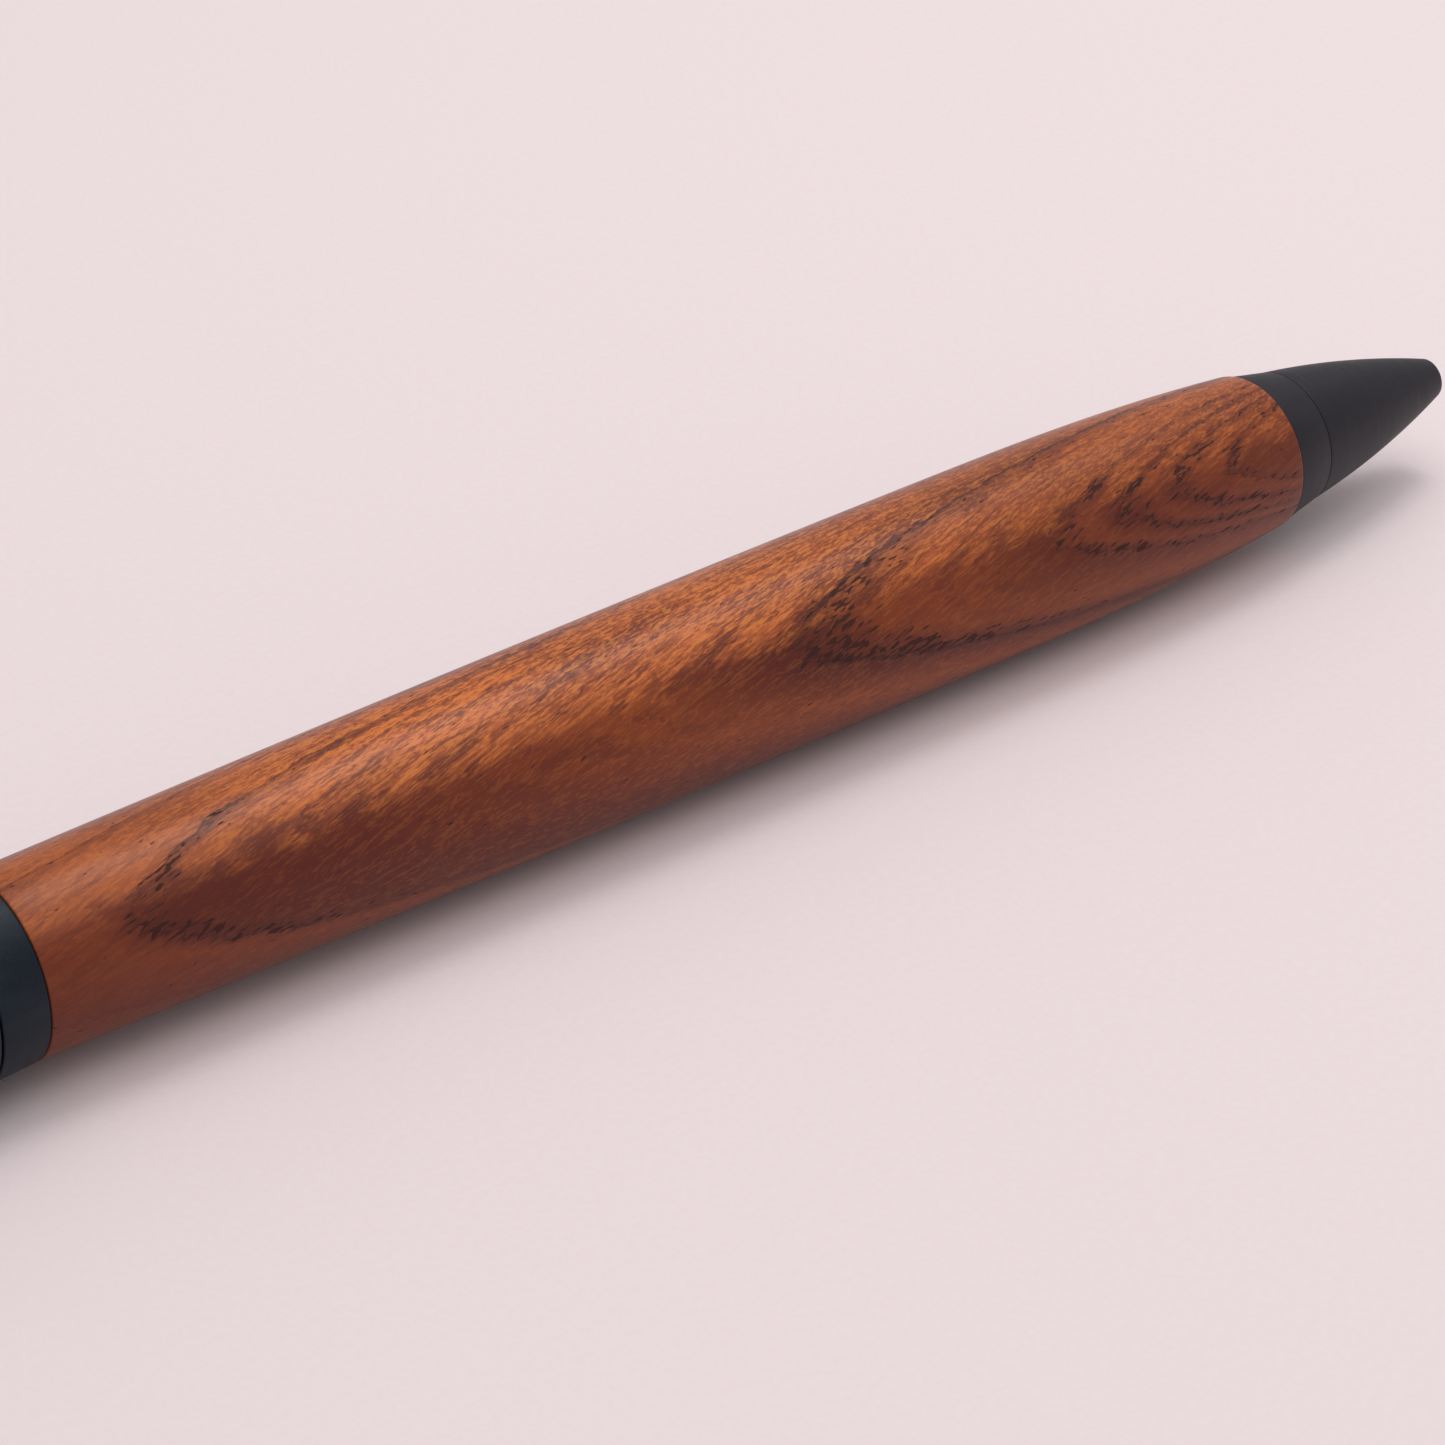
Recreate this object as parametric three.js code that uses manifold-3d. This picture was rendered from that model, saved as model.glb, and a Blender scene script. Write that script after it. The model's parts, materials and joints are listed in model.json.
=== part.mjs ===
// A twist-action ballpoint pen with a turned wooden barrel and matte black metal fittings, lying on
// its side. Millimetres, +Z up. The pen lies along X with its nose at +X, and rests on the swell of
// its barrel, the swell of its upper housing and the edge of its pocket clip. The origin is the
// middle of the bottom of the bounding box.
//
// Every piece is drawn about one axis. Its place along that axis is a station: the distance back
// from the nose's end. Twisting the upper housing turns a sleeve with two helical slots. A pin
// rides in them and in two straight slots, so the pusher and the refill move forward without turning.
import * as THREE from "three";
import { mergeVertices } from "three/addons/utils/BufferGeometryUtils.js";
import Module from "manifold-3d";

const wasm = await Module();
wasm.setup();

// ---- Driving dimensions -------------------------------------------------------------------------
const ROUND = 40; // segments round the outer pieces
const ROUND_INNER = 24; // segments round the pieces inside
const ROUND_SMALL = 16; // segments round pins and the ball

const FIT = 0.05; // radial gap between pieces that are pressed or glued together
const RUN = 0.1; // radial gap between pieces that slide or turn

// Stations of the outer pieces
const NOSE_REAR = 13.5;
const BARREL_FRONT = 16.7;
const BARREL_LENGTH = 92;
const BARREL_REAR = BARREL_FRONT + BARREL_LENGTH;
const BAND_LENGTH = 3;
const BAND_REAR = BARREL_REAR + BAND_LENGTH;
const SEAM_GAP = 0.12;
const HOUSING_FRONT = BAND_REAR + SEAM_GAP;
const HOUSING_REAR = 134;
const CLIP_PLATE = 0.8;
const FINIAL_FRONT = HOUSING_REAR + 2 * SEAM_GAP + CLIP_PLATE;
const PEN_LENGTH = 139.5;

// Radii of the outer pieces
const WIDEST = 6;
const NOSE_TIP_R = 1.34;
const NOSE_REAR_R = 4.4;
const NOSE_REAR_SLOPE = 0.125;
const COUPLER_FRONT_R = 4.41;
const COUPLER_REAR_R = 5;
const BAND_FRONT_R = 5.25;
const BAND_REAR_R = 5.42;
const FINIAL_R = 5.15;
const FINIAL_FACE_R = 2.3;
const EDGE = 0.15; // chamfer on turned edges

// A swelling outline is widest at one station, and drops away by a power law towards each end.
const BARREL_SWELL = {
  front: { station: BARREL_FRONT, radius: 5.09, power: 2.5 },
  widest: 40,
  rear: { station: BARREL_REAR, radius: 5.27, power: 1.8 },
};
const HOUSING_SWELL = {
  front: { station: HOUSING_FRONT, radius: 5.42, power: 2 },
  widest: 122,
  rear: { station: HOUSING_REAR, radius: 5.35, power: 2 },
};

// Barrel tube and its two couplers
const LINER_R = 4;
const LINER_WALL = 0.4;
const LINER_BORE_R = LINER_R - LINER_WALL;
const SPIGOT_R = LINER_BORE_R - FIT;
const SPIGOT_LENGTH = 8;
const NOSE_THREAD_R = 3;
const NOSE_THREAD_LENGTH = 4.5;
const REAR_COUPLER_BORE_R = 3.12;
const JOURNAL_R = 4.4;
const JOURNAL_LENGTH = 5.8;
const O_RING_STATION = BAND_REAR + 3.2;
const O_RING_SECTION_R = 0.27;
const O_RING_R = 4.2;
const HOUSING_BORE_R = JOURNAL_R + RUN;

// Refill: a metal ballpoint cartridge, 98.1 mm long and 5.9 mm across
const REFILL_FRONT = 1.2;
const REFILL_LENGTH = 98.1;
const REFILL_REAR = REFILL_FRONT + REFILL_LENGTH;
const REFILL_R = 2.95;
const REFILL_WALL = 0.35;
const REFILL_NECK_R = 1.5;
const REFILL_TIP_R = 1.12;
const REFILL_TIP_LENGTH = 10;
const REFILL_SHOULDER = 24.5;
const BALL_R = 0.5;
const BALL_GAP = 0.06;
const NOSE_HOLE_R = REFILL_TIP_R + RUN;
const NOSE_BORE_R = 2.4;
const SPRING_SEAT = 6.5;

// Return spring, round the refill's neck
const SPRING_R = 1.95;
const SPRING_WIRE_R = 0.2;
const SPRING_TURNS = 9;
const SPRING_DEAD_TURNS = 1; // close-wound at each end
const SPRING_DEAD_PITCH = 0.45;

// Twist mechanism
const STROKE = 4; // how far half a turn moves the refill
const PIN_STATION = 108;
const PIN_R = 0.5;
const PIN_REACH = 2.9;
const SLEEVE_R = 2.5;
const SLEEVE_BORE_R = 2;
const SLEEVE_FRONT = 100.3;
const SNAP_GROOVE = { front: 100.8, rear: 101.4, radius: 2.25 };
const BODY_FRONT = 101.7;
const BODY_REAR = 117.7;
const BODY_R = 3.05;
const BODY_BORE_R = SLEEVE_R + RUN;
const SLOT_WIDTH = 1.3;
const SLEEVE_REAR = 127.5;
const BUSHING_FRONT = 120.5;
const BUSHING_REAR = 128;
const PLUG_LENGTH = 5.4;
const STUD_R = 1.9;
const STUD_LENGTH = 5;

// Pocket clip: an arm that springs from a plate clamped under the finial
const CLIP_PLATE_R = 5;
const CLIP_ROOT_R = CLIP_PLATE_R + FIT; // where the arm meets its plate
const CLIP_THICKNESS = 0.9;
const CLIP_INNER_R = 6.75; // inner face of the straight arm
const CLIP_REACH = 8.1; // outer face of the arm's lifted end
const CLIP_END = 102.5; // station of the arm's free end
const CLIP_ROOT_WIDTH = 4.4;
const CLIP_END_WIDTH = 3;
const CLIP_PAD_STATION = 106;
const CLIP_PAD_GAP = 0.15;

// ---- Shape helpers ------------------------------------------------------------------------------
// A solid of revolution about the pen's axis. The outline is [radius, station] points, drawn so
// that its outer side runs towards the rear.
function turned(outline, segments = ROUND) {
  const points = outline.map(([radius, station]) => new THREE.Vector2(radius, station));
  return new THREE.LatheGeometry(points, segments);
}

// A ring or tube: its outer outline, then its bore as [radius, station] points from rear to front.
function turnedTube(outer, bore, segments = ROUND) {
  return turned([...outer, ...bore, outer[0]], segments);
}

function plainTube(outerRadius, boreRadius, front, rear, segments = ROUND_INNER) {
  const outer = [
    [outerRadius, front],
    [outerRadius, rear],
  ];
  const bore = [
    [boreRadius, rear],
    [boreRadius, front],
  ];
  return turnedTube(outer, bore, segments);
}

function swellRadius(swell, station) {
  const end = station < swell.widest ? swell.front : swell.rear;
  const share = (station - swell.widest) / (end.station - swell.widest);
  return WIDEST - (WIDEST - end.radius) * share ** end.power;
}

// The outer line of a swelling piece from front to rear, with a chamfer at each end.
function swellOutline(swell, steps) {
  const front = swell.front.station;
  const rear = swell.rear.station;
  const outline = [[swell.front.radius - EDGE, front]];
  for (let i = 0; i <= steps; i++) {
    const station = THREE.MathUtils.lerp(front + EDGE, rear - EDGE, i / steps);
    outline.push([swellRadius(swell, station), station]);
  }
  outline.push([swell.rear.radius - EDGE, rear]);
  return outline;
}

function solidOf(geometry) {
  const bare = geometry.clone();
  bare.deleteAttribute("normal");
  bare.deleteAttribute("uv");
  const merged = mergeVertices(bare, 1e-4);
  return new wasm.Manifold(
    new wasm.Mesh({
      numProp: 3,
      vertProperties: merged.attributes.position.array,
      triVerts: new Uint32Array(merged.index.array),
    }),
  );
}

function geometryOf(solid) {
  const mesh = solid.getMesh();
  const geometry = new THREE.BufferGeometry();
  geometry.setAttribute("position", new THREE.BufferAttribute(mesh.vertProperties, 3));
  geometry.setIndex(new THREE.BufferAttribute(mesh.triVerts, 1));
  return geometry;
}

function cut(geometry, ...cutters) {
  const rest = cutters.reduce((solid, cutter) => solid.subtract(solidOf(cutter)), solidOf(geometry));
  return geometryOf(rest);
}

// A circle as a shape, for sweeping along a curve.
function disc(radius, sides) {
  const corners = Array.from({ length: sides }, (_, i) => {
    const angle = (2 * Math.PI * i) / sides;
    return new THREE.Vector2(radius * Math.cos(angle), radius * Math.sin(angle));
  });
  return new THREE.Shape(corners);
}

function sweep(curve, radius, sides, steps) {
  return new THREE.ExtrudeGeometry(disc(radius, sides), { steps, extrudePath: curve });
}

// A helix about the pen's axis: turn is its angle, and stationAt gives the station for that angle.
class Helix extends THREE.Curve {
  constructor(radius, firstTurn, lastTurn, stationAt) {
    super();
    this.radius = radius;
    this.firstTurn = firstTurn;
    this.lastTurn = lastTurn;
    this.stationAt = stationAt;
  }

  getPoint(t, target = new THREE.Vector3()) {
    const turn = THREE.MathUtils.lerp(this.firstTurn, this.lastTurn, t);
    return target.set(
      this.radius * Math.cos(turn),
      this.stationAt(turn),
      -this.radius * Math.sin(turn),
    );
  }
}

// ---- Nose, barrel and couplers ------------------------------------------------------------------
// The cone's outer line is a parabola from the rounded end to the seam with the coupler.
function noseCone() {
  const rise = NOSE_REAR_R - NOSE_TIP_R;
  const bend = (rise - NOSE_REAR_SLOPE * NOSE_REAR) / NOSE_REAR ** 2;
  const tipSlope = NOSE_REAR_SLOPE + 2 * bend * NOSE_REAR;
  const radiusAt = (station) => NOSE_TIP_R + tipSlope * station - bend * station ** 2;
  const tipEdge = 0.1;
  const outer = [
    [NOSE_HOLE_R, 0],
    [NOSE_TIP_R - tipEdge, 0],
  ];
  const steps = 8;
  for (let i = 0; i <= steps; i++) {
    const station = THREE.MathUtils.lerp(tipEdge, NOSE_REAR - EDGE, i / steps);
    outer.push([radiusAt(station), station]);
  }
  outer.push([NOSE_REAR_R - EDGE, NOSE_REAR]);
  const threadRear = NOSE_REAR + NOSE_THREAD_LENGTH;
  outer.push(
    [NOSE_THREAD_R, NOSE_REAR],
    [NOSE_THREAD_R, threadRear - EDGE],
    [NOSE_THREAD_R - EDGE, threadRear],
  );
  const bore = [
    [NOSE_BORE_R, threadRear],
    [NOSE_BORE_R, SPRING_SEAT],
    [NOSE_HOLE_R, SPRING_SEAT],
  ];
  return turnedTube(outer, bore);
}

function frontCoupler() {
  const front = NOSE_REAR + SEAM_GAP;
  const outer = [
    [COUPLER_FRONT_R - EDGE, front],
    [COUPLER_FRONT_R, front + EDGE],
    [COUPLER_REAR_R, BARREL_FRONT - FIT],
    [SPIGOT_R, BARREL_FRONT - FIT],
    [SPIGOT_R, BARREL_FRONT + SPIGOT_LENGTH - EDGE],
    [SPIGOT_R - EDGE, BARREL_FRONT + SPIGOT_LENGTH],
  ];
  const threadBoreR = NOSE_THREAD_R + RUN;
  const bore = [
    [threadBoreR, BARREL_FRONT + SPIGOT_LENGTH],
    [threadBoreR, front],
  ];
  return turnedTube(outer, bore);
}

function woodenBarrel() {
  const bore = [
    [LINER_R + FIT, BARREL_REAR],
    [LINER_R + FIT, BARREL_FRONT],
  ];
  return turnedTube(swellOutline(BARREL_SWELL, 14), bore);
}

function rearCoupler() {
  const grooveHalf = O_RING_SECTION_R + FIT;
  const grooveR = O_RING_R - O_RING_SECTION_R - FIT;
  const rear = BAND_REAR + JOURNAL_LENGTH;
  const outer = [
    [SPIGOT_R - EDGE, BARREL_REAR - SPIGOT_LENGTH],
    [SPIGOT_R, BARREL_REAR - SPIGOT_LENGTH + EDGE],
    [SPIGOT_R, BARREL_REAR + FIT],
    [BAND_FRONT_R - EDGE, BARREL_REAR + FIT],
    [BAND_FRONT_R, BARREL_REAR + FIT + EDGE],
    [BAND_REAR_R, BAND_REAR - EDGE],
    [BAND_REAR_R - EDGE, BAND_REAR],
    [JOURNAL_R, BAND_REAR],
    [JOURNAL_R, O_RING_STATION - grooveHalf],
    [grooveR, O_RING_STATION - grooveHalf],
    [grooveR, O_RING_STATION + grooveHalf],
    [JOURNAL_R, O_RING_STATION + grooveHalf],
    [JOURNAL_R, rear - EDGE],
    [JOURNAL_R - EDGE, rear],
  ];
  const bore = [
    [REAR_COUPLER_BORE_R, rear],
    [REAR_COUPLER_BORE_R, BARREL_REAR - SPIGOT_LENGTH],
  ];
  return turnedTube(outer, bore);
}

function frictionORing() {
  const ring = new THREE.TorusGeometry(O_RING_R, O_RING_SECTION_R, 8, ROUND_INNER);
  return ring.rotateX(Math.PI / 2).translate(0, O_RING_STATION, 0);
}

// ---- Twist mechanism ----------------------------------------------------------------------------
// The fixed tube: two straight slots, on opposite sides, keep the pin from turning.
function mechanismBody() {
  const half = SLOT_WIDTH / 2;
  const slot = new THREE.Shape();
  slot.moveTo(half, PIN_STATION);
  slot.absarc(0, PIN_STATION, half, 0, Math.PI);
  slot.lineTo(-half, PIN_STATION - STROKE);
  slot.absarc(0, PIN_STATION - STROKE, half, Math.PI, 2 * Math.PI);
  const through = new THREE.ExtrudeGeometry(slot, {
    depth: 4 * BODY_R,
    bevelEnabled: false,
    curveSegments: 6,
  });
  through.translate(0, 0, -2 * BODY_R).rotateY(Math.PI / 2);
  return cut(plainTube(BODY_R, BODY_BORE_R, BODY_FRONT, BODY_REAR), through);
}

// The turning sleeve: each helical slot carries the pin forward by one stroke in half a turn.
function camSleeve() {
  const flangeFront = BODY_REAR + RUN;
  const flangeRear = flangeFront + 1;
  const flangeR = 3.3;
  const boreRear = 113;
  const outer = [
    [SLEEVE_R, SLEEVE_FRONT],
    [SLEEVE_R, SNAP_GROOVE.front],
    [SNAP_GROOVE.radius, SNAP_GROOVE.front],
    [SNAP_GROOVE.radius, SNAP_GROOVE.rear],
    [SLEEVE_R, SNAP_GROOVE.rear],
    [SLEEVE_R, flangeFront],
    [flangeR, flangeFront],
    [flangeR, flangeRear],
    [SLEEVE_R, flangeRear],
    [SLEEVE_R, SLEEVE_REAR - EDGE],
    [SLEEVE_R - EDGE, SLEEVE_REAR],
    [0, SLEEVE_REAR],
  ];
  const bore = [
    [0, boreRear],
    [SLEEVE_BORE_R, boreRear],
    [SLEEVE_BORE_R, SLEEVE_FRONT],
    [SLEEVE_R, SLEEVE_FRONT],
  ];
  const wallMiddle = (SLEEVE_R + SLEEVE_BORE_R) / 2;
  const runOn = (PIN_R + 0.15) / wallMiddle; // clearance past the pin at each end of a slot
  const stationAt = (turn) => PIN_STATION - (STROKE * turn) / Math.PI;
  const slots = [0, Math.PI].map((start) => {
    const helix = new Helix(wallMiddle, -runOn, Math.PI + runOn, stationAt);
    return sweep(helix, SLOT_WIDTH / 2, 8, 18).rotateY(start);
  });
  return cut(turned([...outer, ...bore], ROUND_INNER), ...slots);
}

// A sprung ring, open at one side, that snaps into the sleeve's groove in front of the body.
function snapRing() {
  const opening = Math.PI / 5;
  const inner = SNAP_GROOVE.radius + FIT;
  const outer = BODY_R;
  const ring = new THREE.Shape();
  ring.absarc(0, 0, outer, opening, 2 * Math.PI - opening);
  ring.absarc(0, 0, inner, 2 * Math.PI - opening, opening, true);
  const depth = SNAP_GROOVE.rear - SNAP_GROOVE.front - 2 * FIT;
  const geometry = new THREE.ExtrudeGeometry(ring, { depth, bevelEnabled: false, curveSegments: 24 });
  return geometry.rotateX(-Math.PI / 2).translate(0, SNAP_GROOVE.front + FIT, 0);
}

function pusher() {
  const rodR = SLEEVE_BORE_R - 1.5 * RUN;
  const padFront = REFILL_REAR + FIT;
  const padRear = SLEEVE_FRONT - RUN;
  const rear = PIN_STATION + 3.5;
  const rod = turned(
    [
      [0, padFront],
      [2.3, padFront],
      [2.3, padRear],
      [rodR, padRear],
      [rodR, rear - EDGE],
      [rodR - EDGE, rear],
      [0, rear],
    ],
    ROUND_INNER,
  );
  return cut(rod, crossPin(PIN_R + FIT, 2 * PIN_REACH));
}

// A pin across the pen's axis at the pusher's rear.
function crossPin(radius, reach) {
  const pin = new THREE.CylinderGeometry(radius, radius, 2 * reach, ROUND_SMALL);
  return pin.rotateZ(Math.PI / 2).translate(0, PIN_STATION, 0);
}

// ---- Upper housing ------------------------------------------------------------------------------
function upperHousing() {
  const bore = [
    [HOUSING_BORE_R, HOUSING_REAR],
    [HOUSING_BORE_R, HOUSING_FRONT],
  ];
  return turnedTube(swellOutline(HOUSING_SWELL, 8), bore);
}

function endPlug() {
  const radius = HOUSING_BORE_R - FIT;
  return plainTube(radius, STUD_R + FIT, HOUSING_REAR - PLUG_LENGTH, HOUSING_REAR);
}

// The domed end of the pen, with a flat face and the stud that clamps the clip's plate.
function finial() {
  const stud = [
    [0, FINIAL_FRONT - STUD_LENGTH],
    [STUD_R - EDGE, FINIAL_FRONT - STUD_LENGTH],
    [STUD_R, FINIAL_FRONT - STUD_LENGTH + EDGE],
    [STUD_R, FINIAL_FRONT],
    [FINIAL_R - EDGE, FINIAL_FRONT],
  ];
  const domeFront = FINIAL_FRONT + EDGE;
  const domeHeight = PEN_LENGTH - domeFront;
  const steps = 6;
  const dome = [];
  for (let i = 0; i <= steps; i++) {
    const angle = ((Math.PI / 2) * i) / steps;
    const radius = FINIAL_FACE_R + (FINIAL_R - FINIAL_FACE_R) * Math.cos(angle);
    dome.push([radius, domeFront + domeHeight * Math.sin(angle)]);
  }
  return turned([...stud, ...dome, [0, PEN_LENGTH]]);
}

function clipPlate() {
  const front = HOUSING_REAR + SEAM_GAP;
  return plainTube(CLIP_PLATE_R, STUD_R + FIT, front, front + CLIP_PLATE);
}

// The arm's side view, in radius and station: out from the plate, round a bend and along to a pad
// that dips to the barrel, and a lifted end.
function clipSide() {
  const rootFront = HOUSING_REAR + SEAM_GAP;
  const rootRear = rootFront + CLIP_PLATE;
  const armOuterR = CLIP_INNER_R + CLIP_THICKNESS;
  const padR = swellRadius(BARREL_SWELL, CLIP_PAD_STATION) + CLIP_PAD_GAP;
  const bendInner = 1;
  const bendOuter = bendInner + CLIP_THICKNESS;
  const side = new THREE.Shape();
  side.moveTo(CLIP_ROOT_R, rootFront);
  side.lineTo(CLIP_INNER_R - bendInner, rootFront);
  side.quadraticCurveTo(CLIP_INNER_R, rootFront, CLIP_INNER_R, rootFront - bendInner);
  side.lineTo(CLIP_INNER_R, CLIP_PAD_STATION + 5);
  side.quadraticCurveTo(padR, CLIP_PAD_STATION + 3, padR, CLIP_PAD_STATION);
  side.quadraticCurveTo(padR, CLIP_PAD_STATION - 1.6, CLIP_REACH - CLIP_THICKNESS, CLIP_END);
  side.lineTo(CLIP_REACH, CLIP_END + 0.3);
  side.quadraticCurveTo(padR + 1.4, CLIP_PAD_STATION, armOuterR, CLIP_PAD_STATION + 6);
  side.lineTo(armOuterR, rootRear - bendOuter);
  side.quadraticCurveTo(armOuterR, rootRear, armOuterR - bendOuter, rootRear);
  side.lineTo(CLIP_ROOT_R, rootRear);
  side.closePath();
  return side;
}

// The arm seen from outside, in distance across and station: it narrows to a rounded end.
function clipPlan() {
  const rootStation = HOUSING_REAR + 2;
  const endHalf = CLIP_END_WIDTH / 2;
  const rootHalf = CLIP_ROOT_WIDTH / 2;
  const plan = new THREE.Shape();
  plan.moveTo(rootHalf, rootStation);
  plan.lineTo(-rootHalf, rootStation);
  plan.lineTo(-endHalf, CLIP_END + endHalf);
  plan.absarc(0, CLIP_END + endHalf, endHalf, Math.PI, 2 * Math.PI);
  plan.closePath();
  return plan;
}

function clipArm() {
  const side = new THREE.ExtrudeGeometry(clipSide(), {
    depth: 2 * CLIP_ROOT_WIDTH,
    bevelEnabled: false,
    curveSegments: 6,
  });
  side.translate(0, 0, -CLIP_ROOT_WIDTH);
  const plan = new THREE.ExtrudeGeometry(clipPlan(), {
    depth: 2 * CLIP_REACH,
    bevelEnabled: false,
    curveSegments: 8,
  });
  plan.rotateY(Math.PI / 2);
  return geometryOf(solidOf(side).intersect(solidOf(plan)));
}

// ---- Refill and spring --------------------------------------------------------------------------
function refillTube() {
  const neckFront = REFILL_FRONT + REFILL_TIP_LENGTH;
  const rear = REFILL_REAR - 7;
  const boreR = REFILL_R - REFILL_WALL;
  const outer = [
    [REFILL_NECK_R - 0.1, neckFront],
    [REFILL_NECK_R, neckFront + 0.1],
    [REFILL_NECK_R, REFILL_SHOULDER],
    [REFILL_R - 0.3, REFILL_SHOULDER + 0.6],
    [REFILL_R, REFILL_SHOULDER + 1.4],
    [REFILL_R, rear],
  ];
  const bore = [
    [boreR, rear],
    [boreR, REFILL_SHOULDER + 2],
    [REFILL_NECK_R - REFILL_WALL, REFILL_SHOULDER + 0.8],
    [REFILL_NECK_R - REFILL_WALL, neckFront],
  ];
  return turnedTube(outer, bore, ROUND_INNER);
}

// The socket that holds the ball, with its ink channel, and the stem pressed into the tube's neck.
function refillTip() {
  const ballCentre = REFILL_FRONT + BALL_R;
  const lip = ballCentre - 0.25;
  const rear = REFILL_FRONT + REFILL_TIP_LENGTH - FIT;
  const stemR = REFILL_NECK_R - REFILL_WALL - FIT;
  const stemRear = rear + 4;
  const outer = [
    [0.5, lip],
    [0.62, lip + 0.08],
    [REFILL_TIP_R, REFILL_FRONT + 2.9],
    [REFILL_TIP_R, rear],
    [stemR, rear],
    [stemR, stemRear],
  ];
  const socketR = BALL_R + BALL_GAP;
  const channelR = 0.3;
  const bore = [
    [0.6, stemRear],
    [0.6, rear - 3],
    [channelR, rear - 3.6],
    [channelR, ballCentre + socketR + 0.1],
    [socketR, ballCentre + 0.15],
    [socketR, ballCentre],
    [0.48, lip],
  ];
  return turnedTube(outer, bore, ROUND_INNER);
}

function writingBall() {
  const ball = new THREE.SphereGeometry(BALL_R, ROUND_SMALL, 8);
  return ball.translate(0, REFILL_FRONT + BALL_R, 0);
}

// The plastic crown that closes the cartridge and takes the push, with its vent.
function refillPlug() {
  const flangeFront = REFILL_REAR - 7 + FIT;
  const outer = [
    [REFILL_R - REFILL_WALL - FIT, flangeFront - 4],
    [REFILL_R - REFILL_WALL - FIT, flangeFront],
    [REFILL_R, flangeFront],
    [REFILL_R, flangeFront + 1.2],
    [2.45, flangeFront + 1.6],
    [2.45, REFILL_REAR - 0.3],
    [2.15, REFILL_REAR],
  ];
  const ventR = 0.5;
  const bore = [
    [ventR, REFILL_REAR],
    [ventR, flangeFront - 4],
  ];
  return turnedTube(outer, bore, ROUND_INNER);
}

function inkColumn() {
  const radius = REFILL_R - REFILL_WALL - FIT;
  const front = REFILL_SHOULDER + 2.2;
  const rear = 78;
  return turned(
    [
      [0, front],
      [radius, front],
      [radius, rear],
      [0, rear - 1.2],
    ],
    ROUND_INNER,
  );
}

function returnSpring() {
  const front = SPRING_SEAT + SPRING_WIRE_R + FIT;
  const rear = REFILL_SHOULDER - SPRING_WIRE_R - FIT;
  const deadLength = SPRING_DEAD_TURNS * SPRING_DEAD_PITCH;
  const openTurns = SPRING_TURNS - 2 * SPRING_DEAD_TURNS;
  const openPitch = (rear - front - 2 * deadLength) / openTurns;
  const stationAt = (turn) => {
    const turns = turn / (2 * Math.PI);
    const dead = Math.min(turns, SPRING_DEAD_TURNS) + Math.max(0, turns - SPRING_DEAD_TURNS - openTurns);
    const open = THREE.MathUtils.clamp(turns - SPRING_DEAD_TURNS, 0, openTurns);
    return front + dead * SPRING_DEAD_PITCH + open * openPitch;
  };
  const helix = new Helix(SPRING_R, 0, 2 * Math.PI * SPRING_TURNS, stationAt);
  return sweep(helix, SPRING_WIRE_R, 6, 12 * SPRING_TURNS);
}

// ---- Materials ----------------------------------------------------------------------------------
function material(color, roughness, metalness) {
  return new THREE.MeshStandardMaterial({ color, roughness, metalness });
}

const blackMetal = material(0x26272b, 0.55, 0.3);
const wood = material(0x8a4523, 0.45, 0);
const brass = material(0xb5924a, 0.35, 1);
const steel = material(0xa9adb2, 0.3, 1);
const springSteel = material(0xc3c6ca, 0.25, 1);
const carbide = material(0x77797d, 0.2, 1);
const whitePlastic = material(0xe4e2da, 0.5, 0);
const blackRubber = material(0x1b1b1c, 0.8, 0);
const ink = material(0x0c1022, 0.25, 0);

// ---- Assembly -----------------------------------------------------------------------------------
function group(pieces) {
  const made = new THREE.Group();
  for (const [name, geometry, finish] of pieces) {
    const mesh = new THREE.Mesh(geometry, finish);
    mesh.name = name;
    made.add(mesh);
  }
  return made;
}

const nose = group([
  ["nose_cone", noseCone(), blackMetal],
  ["return_spring", returnSpring(), springSteel],
]);

const barrel = group([
  ["front_coupler", frontCoupler(), blackMetal],
  ["wooden_barrel", woodenBarrel(), wood],
  ["barrel_liner", plainTube(LINER_R, LINER_BORE_R, BARREL_FRONT + 0.1, BARREL_REAR - 0.1), brass],
  ["rear_coupler", rearCoupler(), blackMetal],
  ["friction_o_ring", frictionORing(), blackRubber],
  ["mechanism_body", mechanismBody(), brass],
]);

const refill = group([
  ["writing_ball", writingBall(), carbide],
  ["refill_tip", refillTip(), brass],
  ["refill_tube", refillTube(), steel],
  ["ink_column", inkColumn(), ink],
  ["refill_plug", refillPlug(), whitePlastic],
  ["pusher", pusher(), whitePlastic],
  ["follower_pin", crossPin(PIN_R, PIN_REACH), steel],
]);

const upper = group([
  ["cam_sleeve", camSleeve(), brass],
  ["snap_ring", snapRing(), springSteel],
  ["drive_bushing", plainTube(HOUSING_BORE_R - FIT, SLEEVE_R + FIT, BUSHING_FRONT, BUSHING_REAR), brass],
  ["upper_housing", upperHousing(), blackMetal],
  ["end_plug", endPlug(), brass],
  ["clip_plate", clipPlate(), blackMetal],
  ["finial", finial(), blackMetal],
]);

// The clip points away and down, turned so that the corner of its root just meets the surface.
const clip = group([["clip_arm", clipArm(), blackMetal]]);
const clipBack = CLIP_INNER_R + CLIP_THICKNESS;
const clipHalfWidth = CLIP_ROOT_WIDTH / 2;
clip.rotation.y =
  Math.asin(WIDEST / Math.hypot(clipBack, clipHalfWidth)) - Math.atan2(clipHalfWidth, clipBack);

// Stations run towards -X, and the pen's own X runs towards +Y.
const pen = new THREE.Group();
pen.add(nose, barrel, refill, upper, clip);
pen.rotation.z = Math.PI / 2;

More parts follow.
